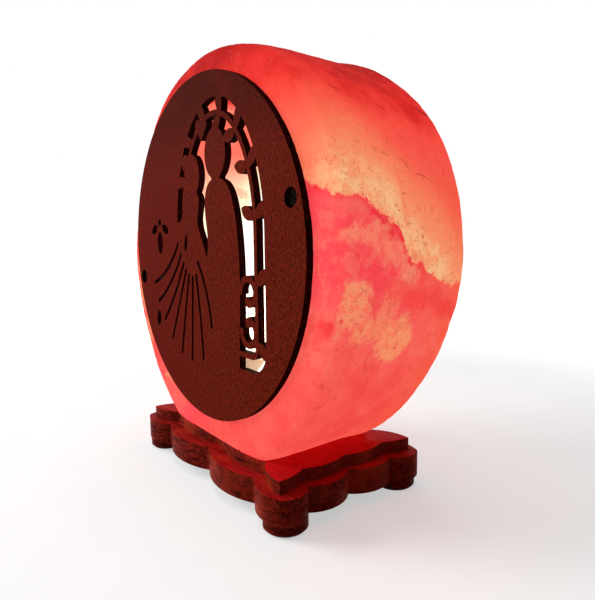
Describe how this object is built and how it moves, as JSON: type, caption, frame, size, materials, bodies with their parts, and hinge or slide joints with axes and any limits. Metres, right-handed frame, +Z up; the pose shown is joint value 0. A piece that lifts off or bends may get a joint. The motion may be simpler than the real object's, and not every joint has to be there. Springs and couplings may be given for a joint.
{
  "type": "salt crystal lamp",
  "caption": "Round drum of glowing pink salt on a scalloped wooden base, with a pierced wooden panel on its front and a small screw-in bulb inside.",
  "frame": {"origin": "on the table, at the middle of the lamp's footprint", "axes": "+Z up, the pierced panel faces -Y, the drum's axis runs along Y"},
  "size_m": [0.1855, 0.08, 0.1928],
  "materials": {
    "salt": "matte translucent pink rock salt, lit from inside",
    "panel_wood": "dark brown stained fibreboard with laser-darkened edges",
    "base_wood": "dark red-brown stained and varnished wood",
    "black_steel": "black oxide",
    "zinc_steel": "zinc plated",
    "spring_steel": "bright spring steel",
    "nylon": "grey nylon",
    "grommet_rubber": "black rubber",
    "holder_plastic": "white thermoplastic",
    "porcelain": "glazed porcelain",
    "brass": "bare brass",
    "solder": "tin solder",
    "black_glass": "opaque black glass",
    "cap_metal": "nickel plated",
    "bulb_glass": "clear glass",
    "lead_wire": "bare wire",
    "filament": "glowing tungsten"
  },
  "bodies": {
    "lamp": {"salt_body": "salt", "front_panel": "panel_wood", "panel_screws": "black_steel", "panel_plugs": "nylon", "base_board": "base_wood", "foot_front_left": "base_wood", "foot_front_right": "base_wood", "foot_back_left": "base_wood", "foot_back_right": "base_wood", "foot_screws": "zinc_steel", "board_screws": "zinc_steel", "board_plugs": "nylon", "cable_grommet": "grommet_rubber"},
    "lampholder": {"clip_nipple": "zinc_steel", "clip_nut": "zinc_steel", "spring_clip": "spring_steel", "holder_cup": "holder_plastic", "holder_shell": "holder_plastic", "holder_core": "porcelain", "thread_sleeve": "brass", "centre_contact": "brass", "side_contact": "brass", "terminal_screws": "brass"},
    "bulb_tip": {"bulb_contact": "solder"},
    "bulb": {"bulb_insulator": "black_glass", "bulb_cap": "cap_metal", "bulb_glass": "bulb_glass", "bulb_stem": "bulb_glass", "bulb_leads": "lead_wire", "bulb_filament": "filament"}
  },
  "joints": [
    {"name": "holder_pull", "type": "slide", "parent": "lamp", "child": "lampholder", "axis": [0, 0, -1], "range_m": [0, 0.085]},
    {"name": "bulb_rise", "type": "slide", "parent": "lampholder", "child": "bulb_tip", "axis": [0, 0, 1], "range_m": [0, 0.0128]},
    {"name": "bulb_turn", "type": "hinge", "parent": "bulb_tip", "child": "bulb", "pos_m": [0, 0, 0.05], "axis": [0, 0, 1], "range_deg": [0, 1620]}
  ],
  "couplings": [
    {"joint": "bulb_rise", "follows": "bulb_turn", "m_per_rad": 0.00044882}
  ]
}
